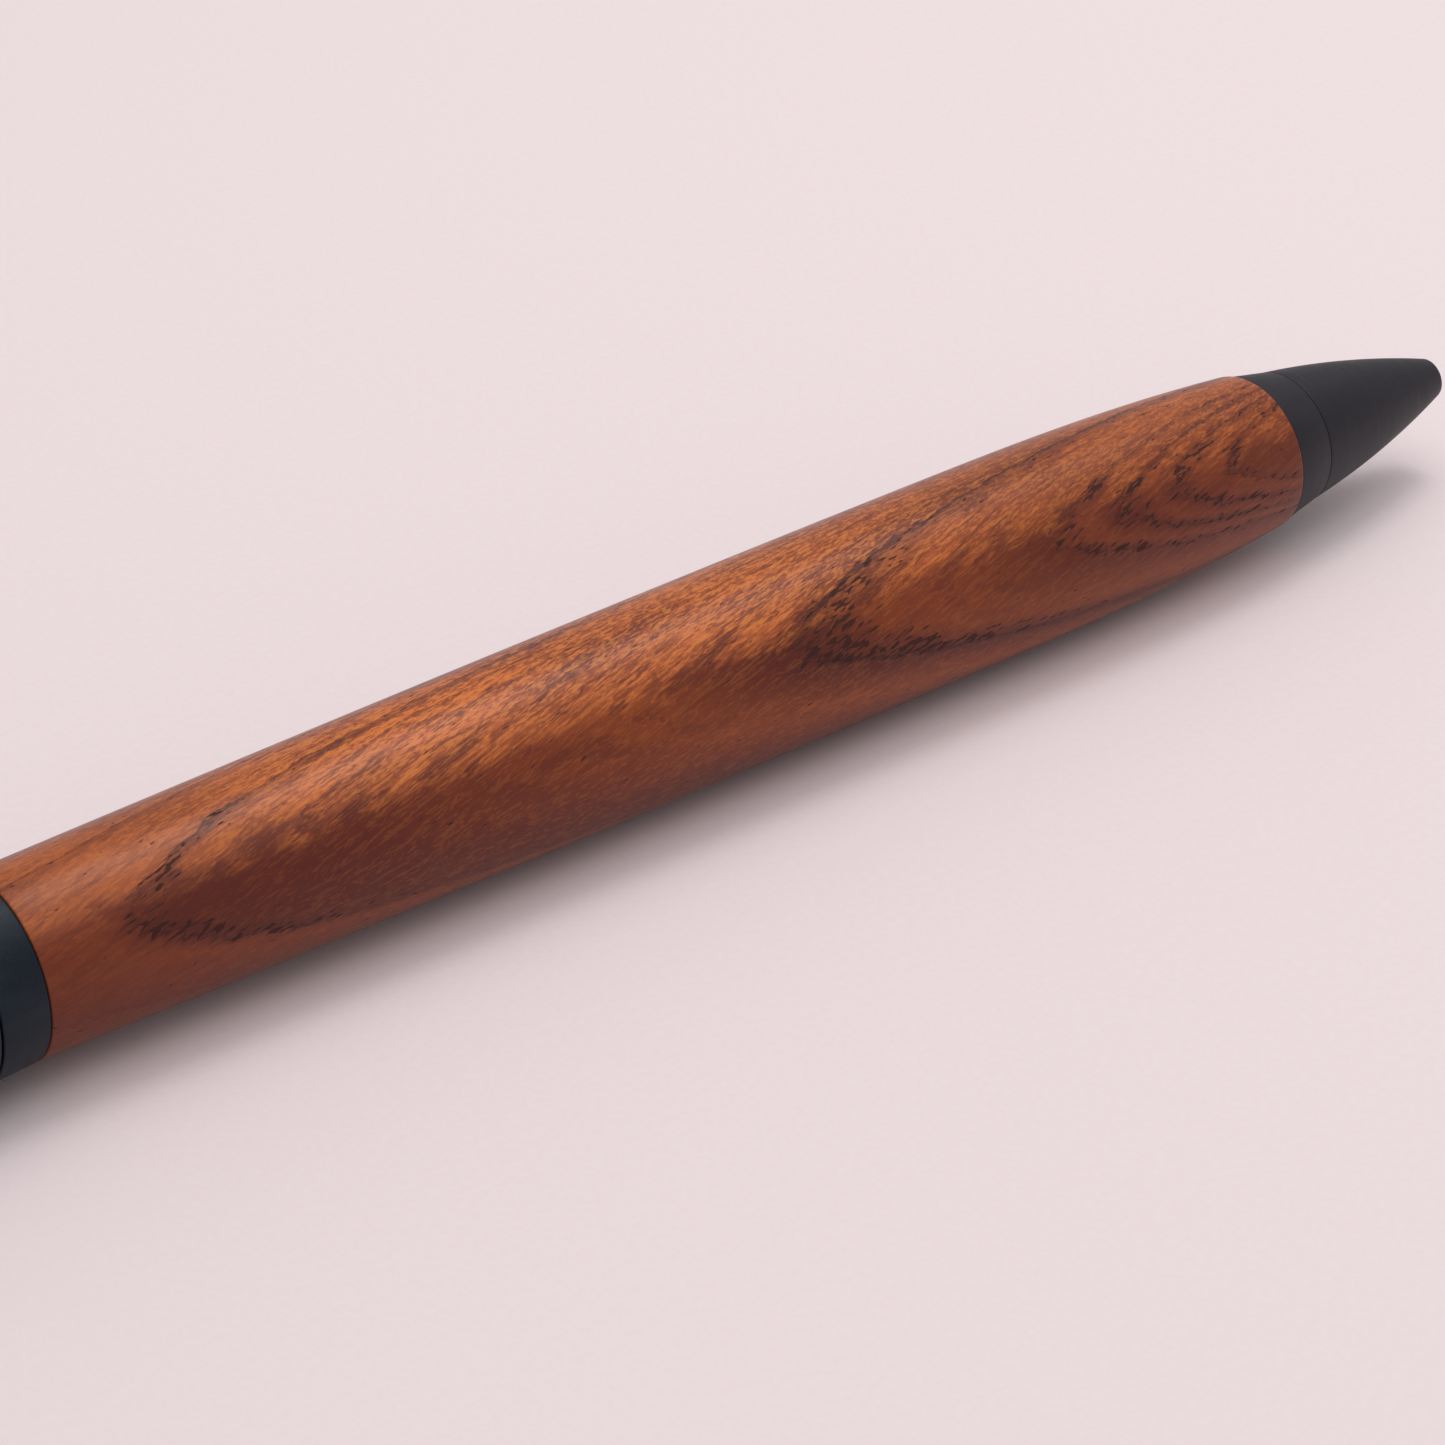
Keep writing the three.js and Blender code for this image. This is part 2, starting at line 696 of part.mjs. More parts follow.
// The middle of the bottom of the bounding box goes to the origin.
const bounds = new THREE.Box3().setFromObject(pen, true);
const middle = bounds.getCenter(new THREE.Vector3());
pen.position.set(-middle.x, -middle.y, -bounds.min.z);

export default pen;
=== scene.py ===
"""The looks of a twist-action ballpoint pen with a turned wooden barrel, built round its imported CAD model.

The outer pieces and the refill are turned again here with finer steps, rounded edges and real threads.
Outlines are lists of (radius, station) pairs in millimetres, where a station is the distance back from
the nose's end. The pen's axis runs along X, with the nose at +X.
"""

import json
import math

import bmesh
import bpy
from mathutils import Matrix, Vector


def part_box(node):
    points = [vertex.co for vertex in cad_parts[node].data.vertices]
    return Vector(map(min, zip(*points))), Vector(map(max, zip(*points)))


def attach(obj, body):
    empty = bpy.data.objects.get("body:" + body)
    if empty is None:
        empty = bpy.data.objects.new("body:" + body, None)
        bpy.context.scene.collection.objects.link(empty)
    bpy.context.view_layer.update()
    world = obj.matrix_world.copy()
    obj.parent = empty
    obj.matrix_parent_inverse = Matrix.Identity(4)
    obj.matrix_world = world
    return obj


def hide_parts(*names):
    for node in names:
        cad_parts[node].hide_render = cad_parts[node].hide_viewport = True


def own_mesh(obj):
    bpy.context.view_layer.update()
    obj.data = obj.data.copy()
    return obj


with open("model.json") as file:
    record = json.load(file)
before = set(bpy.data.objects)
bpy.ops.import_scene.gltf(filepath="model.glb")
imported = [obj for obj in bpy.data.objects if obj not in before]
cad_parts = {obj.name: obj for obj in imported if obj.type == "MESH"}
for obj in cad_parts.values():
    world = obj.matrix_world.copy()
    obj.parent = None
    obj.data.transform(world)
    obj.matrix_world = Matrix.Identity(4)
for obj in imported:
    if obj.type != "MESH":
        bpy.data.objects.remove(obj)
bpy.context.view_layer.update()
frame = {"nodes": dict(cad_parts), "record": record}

# ---- Places from the frame -----------------------------------------------------------------------
MM = 0.001
# The nose's end and the pen's axis, in metres.
NOSE_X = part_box("nose_cone")[1].x
AXIS_Y = sum(corner.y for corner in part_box("refill_tube")) / 2
AXIS_Z = sum(corner.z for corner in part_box("refill_tube")) / 2


def stations(node):
    """Where a CAD node's front and rear are, in millimetres back from the nose's end."""
    low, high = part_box(node)
    return (NOSE_X - high.x) / MM, (NOSE_X - low.x) / MM


BARREL_FRONT, BARREL_REAR = stations("wooden_barrel")
REAR_SPIGOT_FRONT, JOURNAL_REAR = stations("rear_coupler")
HOUSING_FRONT, HOUSING_REAR = stations("upper_housing")
PLATE_FRONT, PLATE_REAR = stations("clip_plate")
STUD_FRONT, PEN_LENGTH = stations("finial")

# ---- Dimensions, in millimetres ------------------------------------------------------------------
SEAM_GAP = 0.12
FINE_SEAM = 0.03  # the seam behind the cone
GLUE_GAP = 0.05  # between glued or pressed pieces

NOSE_REAR = 13.5
NOSE_TIP_R = 1.34
NOSE_REAR_R = 4.4
NOSE_REAR_SLOPE = 0.125  # how fast the cone still widens at its rear
NOSE_HOLE_R = 1.2
NOSE_HOLE_LIP = 0.02
NOSE_HOLE_RIM = 0.25  # where the rounded lip has become the plain hole
NOSE_BORE_R = 2.4
SPRING_SEAT = 6.5

THREAD_REAR = 18
THREAD_R = 3
THREAD_PITCH = 0.75
THREAD_DEPTH = 0.22
THREAD_START = NOSE_REAR + 0.2
THREAD_FADE = 0.3  # the length over which the thread runs out
THREAD_STEPS = 8  # steps along each turn of the thread
THREAD_REACH = 0.2  # how near the thread's cylinder a point must be to bend with it
NUT_R = 3.1
NUT_REAR = 18.4

WIDEST_R = 6
BARREL_WIDEST = 40
BARREL_FRONT_R = 5.09
BARREL_REAR_R = 5.27
LINER_R = 4.05
SPIGOT_R = 3.55
SPIGOT_LENGTH = 8

COUPLER_FRONT = NOSE_REAR + FINE_SEAM
COUPLER_FRONT_R = 4.41
COUPLER_REAR_R = 5

BAND_REAR = HOUSING_FRONT - SEAM_GAP
BAND_FRONT_R = 5.25
BAND_REAR_R = 5.42
JOURNAL_R = 4.4
JOURNAL_BORE_R = 3.12
GROOVE_R = 3.88
GROOVE_FRONT = 114.58
GROOVE_REAR = 115.22

HOUSING_WIDEST = 122
HOUSING_REAR_R = 5.35
HOUSING_BORE_R = 4.5

PLATE_R = 5
PLATE_HOLE_R = 1.95
STUD_R = 1.9
FINIAL_FRONT = PLATE_REAR + SEAM_GAP
FINIAL_R = 5.15
FINIAL_RIM = 0.15  # the straight edge in front of the dome
FINIAL_FACE_R = 2.3

CLIP_ROOT_R = 5.05
CLIP_BEND_R = 5.75  # where the root starts to bend along the pen
CLIP_INNER_R = 6.75
CLIP_OUTER_R = 7.65
CLIP_PAD_R = 5.471
CLIP_PAD_THICK = 1.4
CLIP_TIP = 102.62
CLIP_TIP_HALF = 1.5  # half the arm's width near its tip, and the radius of its rounded end
CLIP_WIDENING = 0.7 / 32  # how fast half the width grows towards the plate
CLIP_WIDENS_FROM = 104
CLIP_EDGE = 0.22
CLIP_ANGLE = math.radians(32.87)  # how far below the horizontal the clip points
CLIP_OUT = Vector((0, math.cos(CLIP_ANGLE), -math.sin(CLIP_ANGLE)))
CLIP_ACROSS = Vector((0, math.sin(CLIP_ANGLE), math.cos(CLIP_ANGLE)))

REFILL_FRONT = 1.2
REFILL_TIP_REAR = 11.2
REFILL_SHOULDER = 24.5
REFILL_TUBE_REAR = 92.3
REFILL_R = 2.95
REFILL_NECK_R = 1.5
REFILL_BORE_R = 1.15
TIP_LIP_R = 0.62
TIP_R = 1.12
TIP_STEM_R = 1.1
TIP_STEM_LENGTH = 3.95
INK_CHANNEL_R = 0.56
BALL_R = 0.5
BALL_STATION = REFILL_FRONT + BALL_R

SPRING_COIL_R = 1.95
SPRING_WIRE_R = 0.2
SPRING_TURNS = 9
SPRING_DEAD_PITCH = 0.45  # the pitch of the close-wound turn at each end

# ---- Fineness of the meshes ----------------------------------------------------------------------
ROUND = 144  # segments round a turned piece
REFILL_ROUND = 64
BALL_ROUND = 48
WIRE_ROUND = 10
EDGE_ROUND = 0.12  # the rounding of a piece's edges
FINE_EDGE = 0.07
EDGE_STEPS = 4
EDGE_SHARE = 0.45  # the most that a rounded edge takes from the faces beside it
SHARP_ANGLE = math.radians(32)
SAME_RADIUS = 0.01  # points this near in radius are on one cylinder
SAME_PLACE = 1e-7  # points this near are merged, in metres


# ---- Shapes --------------------------------------------------------------------------------------
def curve_point(start, control, end, share):
    """A point of a quadratic curve."""
    rest = 1 - share
    return rest**2 * start + 2 * share * rest * control + share**2 * end


def curve(start, control, end, steps):
    """Points of a quadratic curve after its start."""
    start, control, end = Vector(start), Vector(control), Vector(end)
    return [curve_point(start, control, end, k / steps) for k in range(1, steps + 1)]


def swell(front, widest, rear, front_power, rear_power, steps):
    """A swelling outline from front to rear. front and rear are (station, radius) pairs."""
    outline = []
    for i in range(steps + 1):
        station = front[0] + (rear[0] - front[0]) * i / steps
        end, power = (front, front_power) if station < widest else (rear, rear_power)
        share = (station - widest) / (end[0] - widest)
        outline.append((WIDEST_R - (WIDEST_R - end[1]) * share**power, station))
    return outline


def eased(outline, size):
    """The closed outline with its sharp corners rounded. Points on the axis stay."""
    result = []
    for i, point in enumerate(outline):
        corner = Vector(point)
        back = Vector(outline[i - 1]) - corner
        ahead = Vector(outline[(i + 1) % len(outline)]) - corner
        if corner.x == 0 or back.angle(-ahead) < SHARP_ANGLE:
            result.append(corner)
            continue
        start = corner + back.normalized() * min(size, back.length * EDGE_SHARE)
        end = corner + ahead.normalized() * min(size, ahead.length * EDGE_SHARE)
        result.append(start)
        result += curve(start, corner, end, EDGE_STEPS)
    return result


def tube(outer, bore_r, front, rear):
    """An outer outline closed by a plain bore."""
    return [*outer, (bore_r, rear), (bore_r, front)]


def ring_point(radius, station, angle):
    """A point round the pen's axis, in metres."""
    return (
        NOSE_X - station * MM,
        AXIS_Y - radius * math.cos(angle) * MM,
        AXIS_Z + radius * math.sin(angle) * MM,
    )


def faces_between(row, after, sides):
    """Faces between two closed rows of points, numbered in the order they were made."""
    faces = []
    for k in range(sides):
        n = (k + 1) % sides
        faces.append((row * sides + k, row * sides + n, after * sides + n, after * sides + k))
    return faces


def rod_faces(rows, sides):
    """The faces of a rod made of closed rows of points, with both its ends."""
    last = (rows - 1) * sides
    faces = [tuple(range(sides)), tuple(range(last, last + sides))]
    for row in range(rows - 1):
        faces += faces_between(row, row + 1, sides)
    return faces


def finish_mesh(name, vertices, faces, body, slot):
    """A smooth-shaded piece from vertices in metres, riding on a body."""
    mesh = bpy.data.meshes.new(name)
    mesh.from_pydata(vertices, [], faces)
    shape = bmesh.new()
    shape.from_mesh(mesh)
    bmesh.ops.remove_doubles(shape, verts=shape.verts, dist=SAME_PLACE)
    bmesh.ops.recalc_face_normals(shape, faces=shape.faces)
    shape.to_mesh(mesh)
    shape.free()
    mesh.shade_smooth()
    mesh.set_sharp_from_angle(angle=SHARP_ANGLE)
    piece = bpy.data.objects.new(name, mesh)
    bpy.context.scene.collection.objects.link(piece)
    piece.data.materials.append(MATERIALS[slot])
    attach(piece, body)
    return piece


def thread_rise(radius, station, angle, thread):
    """How far the thread moves a point from its plain cylinder: inwards on a screw, outwards in a nut."""
    front, rear, depth = thread
    if not front < station < rear or abs(radius - THREAD_R) > THREAD_REACH:
        return 0
    fade = min(1, (station - front) / THREAD_FADE, (rear - station) / THREAD_FADE)
    wave = 0.5 - 0.5 * math.cos(2 * math.pi * station / THREAD_PITCH - angle)
    return depth * wave * fade


def split_along(points, thread):
    """Adds stations along the threaded length, so that the thread has points to bend."""
    front, rear, _ = thread
    step = THREAD_PITCH / THREAD_STEPS
    result = []
    for point, after in zip(points, points[1:] + points[:1]):
        result.append(point)
        low, high = sorted((point[1], after[1]))
        straight = abs(point[0] - after[0]) < SAME_RADIUS
        if straight and low <= front + step and high >= rear - step:
            steps = int((high - low) / step)
            result += [point.lerp(after, k / steps) for k in range(1, steps)]
    return result


def turned(node, outline, body, slot, thread=None, segments=ROUND, edge=EDGE_ROUND):
    """Turns an outline about the pen's axis, to stand for a CAD node.

    An outline that starts on the axis also ends there, and any other closes on itself. thread is
    (front, rear, depth): between those stations a helical groove of that depth is cut.
    """
    closed = outline[0][0] != 0
    points = eased(outline, edge)
    if thread:
        points = split_along(points, thread)
    vertices = []
    for radius, station in points:
        for i in range(segments):
            angle = 2 * math.pi * i / segments
            rise = thread_rise(radius, station, angle, thread) if thread else 0
            vertices.append(ring_point(radius + rise, station, angle))
    faces = []
    for row in range(len(points) if closed else len(points) - 1):
        faces += faces_between(row, (row + 1) % len(points), segments)
    piece = finish_mesh(node + "_fine", vertices, faces, body, slot)
    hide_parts(node)
    return piece


# ---- Colours and materials -----------------------------------------------------------------------
# The mix node's sockets for colours, which come after those for numbers and vectors.
MIX_FIRST = 6
MIX_SECOND = 7
MIX_RESULT = 2


def channel(value):
    """One linear channel from its 0-255 display value."""
    if value < 10:
        return value / 255 / 12.92
    return ((value / 255 + 0.055) / 1.055) ** 2.4


def colour(red, green, blue):
    """A linear colour from 0-255 display values."""
    return channel(red), channel(green), channel(blue), 1


class Shader:
    """One procedural material under construction.

    place is the surface's point at rest, in millimetres: X along the pen from the frame's origin, and Y
    and Z from the pen's axis.
    """

    def __init__(self, slot):
        self.material = bpy.data.materials.new(slot)
        self.material.use_nodes = True
        self.tree = self.material.node_tree
        self.surface = self.tree.nodes["Principled BSDF"]
        local = self.node("ShaderNodeTexCoord").outputs["Object"]
        scale = 1 / MM
        self.place = self.vector("MULTIPLY_ADD", local, (scale,) * 3, (0, -AXIS_Y * scale, -AXIS_Z * scale))

    def node(self, kind, **settings):
        node = self.tree.nodes.new(kind)
        for key, value in settings.items():
            setattr(node, key, value)
        return node

    def put(self, socket, value):
        """Links or sets a socket."""
        if isinstance(value, bpy.types.NodeSocket):
            self.tree.links.new(value, socket)
        else:
            socket.default_value = value

    def fill(self, node, values):
        """Puts values into a node's first sockets, and gives its first output."""
        for socket, value in zip(node.inputs, values):
            self.put(socket, value)
        return node.outputs[0]

    def vector(self, operation, *values):
        """The output of a vector math node."""
        return self.fill(self.node("ShaderNodeVectorMath", operation=operation), values)

    def math(self, operation, *values, clamp=False):
        """The output of a math node."""
        return self.fill(self.node("ShaderNodeMath", operation=operation, use_clamp=clamp), values)

    def total(self, first, *others):
        for value in others:
            first = self.math("ADD", first, value)
        return first

    def product(self, first, *others):
        for value in others:
            first = self.math("MULTIPLY", first, value)
        return first

    def difference(self, first, second):
        return self.math("SUBTRACT", first, second)

    def parts(self, vector):
        """A vector's X, Y and Z."""
        node = self.node("ShaderNodeSeparateXYZ")
        self.put(node.inputs[0], vector)
        return node.outputs

    def noise(self, vector, sizes, detail=2, roughness=0.5):
        """Noise whose blobs are about sizes millimetres long in X, Y and Z."""
        node = self.node("ShaderNodeTexNoise")
        self.put(node.inputs["Vector"], self.vector("MULTIPLY", vector, [1 / size for size in sizes]))
        self.put(node.inputs["Scale"], 1)
        self.put(node.inputs["Detail"], detail)
        self.put(node.inputs["Roughness"], roughness)
        return node.outputs["Fac"]

    def span(self, value, low, high, to_low=0, to_high=1):
        """Smoothly takes value from low..high to to_low..to_high."""
        node = self.node("ShaderNodeMapRange", interpolation_type="SMOOTHSTEP")
        self.put(node.inputs["Value"], value)
        self.put(node.inputs["From Min"], low)
        self.put(node.inputs["From Max"], high)
        self.put(node.inputs["To Min"], to_low)
        self.put(node.inputs["To Max"], to_high)
        return node.outputs["Result"]

    def ramp(self, value, stops):
        """A colour ramp. stops are (position, colour) pairs."""
        node = self.node("ShaderNodeValToRGB")
        elements = node.color_ramp.elements
        for _ in range(len(stops) - len(elements)):
            elements.new(0.5)
        for element, (position, shade) in zip(elements, stops):
            element.position = position
            element.color = shade
        self.put(node.inputs[0], value)
        return node.outputs["Color"]

    def mix(self, share, first, second):
        """A colour that goes from first to second as share goes from 0 to 1."""
        node = self.node("ShaderNodeMix", data_type="RGBA")
        self.put(node.inputs["Factor"], share)
        self.put(node.inputs[MIX_FIRST], first)
        self.put(node.inputs[MIX_SECOND], second)
        return node.outputs[MIX_RESULT]

    def bump(self, height, distance, strength):
        """Bumps the surface by height, where 1 stands for distance in millimetres."""
        node = self.node("ShaderNodeBump")
        self.put(node.inputs["Height"], height)
        self.put(node.inputs["Distance"], distance * MM)
        self.put(node.inputs["Strength"], strength)
        self.put(self.surface.inputs["Normal"], node.outputs["Normal"])

    def done(self, values):
        """Sets the surface's inputs by name, and gives the material."""
        for name, value in values.items():
            self.put(self.surface.inputs[name], value)
        return self.material


# ---- Wood ----------------------------------------------------------------------------------------
# Directions round the barrel, up from the horizontal on the near side.
CROSSING_FACE = math.radians(15)  # where the pores crowd along the rings
RING_FACE = math.radians(34)  # where the rings come to a point
PORE_FACE = math.radians(62)  # where the lines of pores are strongest
PAINTED_LIGHT_FACE = math.radians(82)  # the upper side, painted lighter and gold-toned as if lit from above
GRAIN_SLOPE = math.radians(15)  # the fibres' slant across the side with the rings' points

# Growth rings: where the pore line of each crosses the side with the rings' points, in millimetres
# along X, then how far its pores reach towards the nose and how dense they are.
RINGS = (
    (-101, 4, 0.5),
    (-86, 4, 0.6),
    (-68, 4, 0.5),
    (-50, 4, 0.6),
    (-33.7, 3.4, 1),
    (12, 8, 1),
    (33, 2.2, 0.95),
    (37.9, 2, 0.95),
    (42.5, 1.9, 0.9),
    (47.2, 1.8, 0.85),
)

# The wood's ground colour at places along the same scale. Near the nose, dark and light rings take turns.
DARK_RING = (97, 40, 26)
LIGHT_RING = (120, 54, 29)
TONES = (
    (-110, (110, 47, 27)),
    (-60, (105, 45, 25)),
    (-45, (107, 46, 26)),
    (-36, (122, 56, 31)),
    (-33, (90, 36, 25)),
    (-20, (95, 38, 26)),
    (-10, (116, 51, 28)),
    (0, (136, 65, 32)),
    (6, (113, 51, 29)),
    (11.5, (80, 31, 24)),
    (13, (90, 38, 25)),
    (17, (130, 60, 29)),
    (24, (125, 58, 30)),
    (32, DARK_RING),
    (35.5, LIGHT_RING),
    (37.5, DARK_RING),
    (40, LIGHT_RING),
    (42, DARK_RING),
    (45, LIGHT_RING),
    (50, (107, 47, 28)),
)
# The stretch of that scale which the colour ramp covers.
TONES_FRONT = 56
TONES_REAR = -112

# Sizes of the wood's figure in millimetres, along the barrel or its fibres and then across them.
SLOW_WAVES = (22, 7, 7)
QUICK_WAVES = (5, 1, 1)
ROUGH_WAVES = (1.5, 0.25, 0.25)
BAND_SIZE = (1.5, 1.6, 1.6)
CLOUD_SIZE = (13, 4, 4)
STREAK_SIZE = (9, 0.5, 0.5)
STRAND_SIZE = (3, 0.2, 0.2)
CELL_SIZE = (0.5, 0.1, 0.1)
PATCH_SIZE = (6, 2, 2)
PORE_SIZE = (1, 0.22, 0.22)
# How far a ring's line runs towards the nose in the first quarter turn from the ring's point.
ARCH_LENGTH_REAR = 35
ARCH_LENGTH_FRONT = 50

# The first colour below is painted light: the lighter, gold-toned colour of the upper side, where the
# overhead light falls. The others are the wood's own.
PAINTED_LIGHT_GOLDEN = colour(218, 118, 56)
BAND_BROWN = colour(100, 42, 28)
STREAK_BROWN = colour(90, 38, 28)
DARK_FLECK = colour(92, 30, 19)
LIGHT_FLECK = colour(224, 136, 60)
PORE_GROUND = colour(84, 32, 23)
PORE_LINE = colour(58, 22, 17)
PORE = colour(54, 22, 17)


def facing(wood, angle):
    """The cosine between the surface's place round the axis and a direction up from the horizontal."""
    _, y, z = wood.parts(wood.place)
    radius = wood.math("SQRT", wood.total(wood.product(y, y), wood.product(z, z)))
    reach = wood.total(wood.product(y, -math.cos(angle)), wood.product(z, math.sin(angle)))
    return wood.math("DIVIDE", reach, wood.math("MAXIMUM", radius, 0.01))


def wander(wood, vector, sizes, amount):
    """Noise centred on zero, amount millimetres from end to end."""
    return wood.product(wood.difference(wood.noise(vector, sizes), 0.5), amount)


def along_fibres(wood):
    """The place, turned so that its X runs along the slanting fibres."""
    node = wood.node("ShaderNodeVectorRotate", rotation_type="AXIS_ANGLE")
    wood.put(node.inputs["Vector"], wood.place)
    wood.put(node.inputs["Axis"], (0, -math.cos(RING_FACE), math.sin(RING_FACE)))
    wood.put(node.inputs["Angle"], -GRAIN_SLOPE)
    return node.outputs[0]


def ring_scale(wood, fibres):
    """Where the surface cuts the growth rings: X, drawn out into pointed arches and then roughened."""
    x = wood.parts(wood.place)[0]
    length = wood.span(x, -30, 15, ARCH_LENGTH_REAR, ARCH_LENGTH_FRONT)
    arches = wood.difference(x, wood.product(length, wood.difference(1, facing(wood, RING_FACE))))
    slow = wander(wood, wood.place, SLOW_WAVES, 5)
    quick = wander(wood, fibres, QUICK_WAVES, 3)
    rough = wander(wood, fibres, ROUGH_WAVES, 3.6)
    return wood.total(arches, slow, quick, rough)


def band_noise(wood, ring):
    """Soft bands that follow the growth rings."""
    _, y, z = wood.parts(wood.place)
    layers = wood.fill(wood.node("ShaderNodeCombineXYZ"), (ring, y, z))
    return wood.noise(layers, BAND_SIZE)


def ring_pulses(wood, ring, lead, reach_share):
    """Rises just before each growth ring's line and fades over a share of its pores' reach."""
    total = 0
    for line, reach, density in RINGS:
        rise = wood.span(ring, line - lead, line + 0.1, 0, density)
        end = reach * reach_share
        fade = wood.span(ring, line + end, line + end * 0.4)
        total = wood.total(total, wood.product(rise, fade))
    return total


def ground_tone(wood, ring):
    """The slow changes of colour from ring to ring."""
    length = TONES_FRONT - TONES_REAR
    share = wood.math("DIVIDE", wood.difference(ring, TONES_REAR), length, clamp=True)
    stops = [((position - TONES_REAR) / length, colour(*shade)) for position, shade in TONES]
    return wood.ramp(share, stops)


def add_painted_light_side(wood, tone, painted_light):
    """Paints light on the upper side: brightens it towards a gold tone in clouds, most of all in the middle
    of the barrel.
    """
    x = wood.parts(wood.place)[0]
    clouds = wood.span(wood.noise(wood.place, CLOUD_SIZE), 0.36, 0.56, 0.55, 0.85)
    middle = wood.product(wood.span(x, -30, -15, 0.55, 1), wood.span(x, 28, 12, 0.5, 1))
    return wood.mix(wood.product(painted_light, clouds, middle), tone, PAINTED_LIGHT_GOLDEN)


def add_bands(wood, tone, bands, figure, fibres):
    """Darkens bands along the rings on the upper side, and streaks along the fibres everywhere."""
    upper = wood.span(facing(wood, PAINTED_LIGHT_FACE), -0.1, 0.6, 0, 0.6)
    shown = wood.product(upper, figure)
    tone = wood.mix(wood.product(wood.span(bands, 0.5, 0.64), shown), tone, BAND_BROWN)
    streaks = wood.noise(fibres, STREAK_SIZE, 3, 0.6)
    return wood.mix(wood.span(streaks, 0.48, 0.68, 0, 0.3), tone, STREAK_BROWN)


def add_flecks(wood, tone, ripple, painted_light, figure):
    """Small dark and light flecks of the grain, strongest on the upper side where light is painted."""
    contrast = wood.product(wood.total(0.1, wood.product(painted_light, 0.4)), figure)
    tone = wood.mix(wood.product(wood.span(ripple, 0.5, 0.6), contrast), tone, DARK_FLECK)
    return wood.mix(wood.product(wood.span(ripple, 0.5, 0.42), contrast), tone, LIGHT_FLECK)


def add_pores(wood, tone, ring, fibres):
    """Dark ground, lines and open pores at each growth ring. Gives the colour and the pores' depth."""
    patches = wood.span(wood.noise(wood.place, PATCH_SIZE, 1), 0.36, 0.52, 0.6, 1)
    broken = wood.product(patches, wood.span(facing(wood, PORE_FACE), 0, 0.5, 0.35, 1))
    ground = wood.product(ring_pulses(wood, ring, 0.9, 1), broken)
    lines = wood.product(ring_pulses(wood, ring, 0.3, 0.16), broken)
    tone = wood.mix(wood.product(ground, 0.5), tone, PORE_GROUND)
    tone = wood.mix(wood.product(lines, 0.7), tone, PORE_LINE)
    dashes = wood.noise(fibres, PORE_SIZE, 1)
    crowding = wood.product(ground, wood.span(facing(wood, CROSSING_FACE), 0.55, 0.9, 0.35, 1))
    limit = wood.difference(0.73, wood.product(crowding, 0.25))
    pores = wood.math("DIVIDE", wood.difference(dashes, limit), 0.07, clamp=True)
    return wood.mix(wood.product(pores, 0.85), tone, PORE), pores


def wood_material():
    """Ring-porous wood cut nearly along its rings, so that they make long pointed arches."""
    wood = Shader("turned_wood")
    x = wood.parts(wood.place)[0]
    fibres = along_fibres(wood)
    ring = ring_scale(wood, fibres)
    bands = band_noise(wood, ring)
    # The edge of the painted light on the upper side is feathered by the bands, and the figure fades towards
    # both ends.
    feathered = wood.math("MULTIPLY_ADD", wood.difference(bands, 0.5), -0.45, facing(wood, PAINTED_LIGHT_FACE))
    painted_light = wood.span(feathered, 0.66, 0.98)
    figure = wood.product(wood.span(x, -36, -12, 0.35, 1), wood.span(x, 40, 14, 0.55, 1))
    cells = wood.noise(fibres, CELL_SIZE, 1)
    strands = wood.noise(fibres, STRAND_SIZE, 2, 0.6)
    ripple = wood.total(wood.product(cells, 0.4), wood.product(strands, 0.6))

    tone = ground_tone(wood, ring)
    # Painted light: the upper side is painted lighter and gold-toned, as where the overhead light falls.
    tone = add_painted_light_side(wood, tone, painted_light)
    tone = add_bands(wood, tone, bands, figure, fibres)
    tone = add_flecks(wood, tone, ripple, painted_light, figure)
    tone, pores = add_pores(wood, tone, ring, fibres)
    wood.bump(wood.difference(wood.product(ripple, 0.5), pores), 0.03, 0.6)
    return wood.done(
        {
            "Base Color": tone,
            "Roughness": wood.span(wood.total(pores, ripple), 0.3, 1.6, 0.34, 0.68),
            "Specular IOR Level": 0.24,
            "Sheen Weight": 0.07,
            "Sheen Roughness": 0.35,
        }
    )


# ---- Metal, plastic, rubber and ink --------------------------------------------------------------
# Sizes of the marks in millimetres, along the pen and then across it.
PEEL_SIZE = (0.1, 0.1, 0.1)
RUBBED_SIZE = (5, 2.4, 2.4)
TURNING_SIZE = (0.12, 9, 9)
TARNISH_SIZE = (3, 2, 2)
STAIN_SIZE = (4, 3, 3)
STREAKS_ALONG = (8, 0.15, 0.15)
STREAKS_ROUND = (0.1, 6, 6)
WIRE_STREAKS = (1.5, 0.2, 0.2)
POLISHED = (0.1, 0.1, 0.1)


def coated_metal(slot, shade, worn, rough, shine, tint):
    """Dark matte coating on metal: a fine orange-peel, worn a little lighter where it has been rubbed."""
    metal = Shader(slot)
    peel = metal.noise(metal.place, PEEL_SIZE, 3, 0.6)
    rubbed = metal.noise(metal.place, RUBBED_SIZE, 4, 0.6)
    turning = metal.noise(metal.place, TURNING_SIZE)
    tone = metal.mix(metal.span(rubbed, 0.45, 0.75, 0, 0.6), shade, worn)
    tone = metal.mix(metal.span(peel, 0.4, 0.7, 0, 0.3), tone, worn)
    metal.bump(metal.total(peel, metal.product(turning, 0.6)), 0.004, 0.5)
    return metal.done(
        {
            "Base Color": tone,
            "Roughness": metal.span(metal.total(rubbed, turning), 0.6, 1.4, rough - 0.05, rough + 0.06),
            "Specular IOR Level": shine,
            "Specular Tint": tint,
        }
    )


